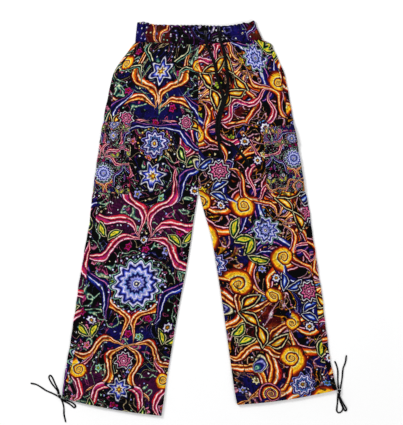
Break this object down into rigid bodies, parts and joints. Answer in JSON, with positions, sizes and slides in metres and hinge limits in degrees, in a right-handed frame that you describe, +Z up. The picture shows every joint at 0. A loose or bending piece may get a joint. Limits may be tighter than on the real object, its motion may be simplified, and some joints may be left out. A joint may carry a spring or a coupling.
{
  "type": "wide-leg drawstring trousers",
  "caption": "Wide-leg trousers laid flat: elastic gathered waist with a drawstring, a flapped cargo pocket on each side and tied cord hems.",
  "frame": {"origin": "on the floor, under the middle of the trousers' box without the cords", "axes": "+X to the wearer's left, +Y towards the waist, +Z up from the floor, front of the trousers facing up"},
  "size_m": [0.8234, 1.0437, 0.0107],
  "materials": {
    "printed_cloth": "smooth printed plain weave, satin-matt, many-coloured flower and paisley print on black",
    "pocket_cloth": "the same printed cloth, print at a smaller scale",
    "gathered_band": "the same printed cloth gathered over elastic, mostly its dark ground",
    "black_tape": "black woven polyester tape"
  },
  "bodies": {
    "root": {"front_leg_right": "printed_cloth", "front_leg_left": "printed_cloth", "back_leg_right": "printed_cloth", "back_leg_left": "printed_cloth", "waistband": "gathered_band", "pocket_right": "pocket_cloth", "pocket_left": "pocket_cloth", "pocket_flap_right": "pocket_cloth", "pocket_flap_left": "pocket_cloth", "drawstring_1": "black_tape", "drawstring_2": "black_tape", "ankle_knot_right": "black_tape", "ankle_loop_right_1": "black_tape", "ankle_loop_right_2": "black_tape", "ankle_tail_right_1": "black_tape", "ankle_tail_right_2": "black_tape", "ankle_knot_left": "black_tape", "ankle_loop_left_1": "black_tape", "ankle_loop_left_2": "black_tape", "ankle_tail_left_1": "black_tape", "ankle_tail_left_2": "black_tape"}
  },
  "joints": []
}
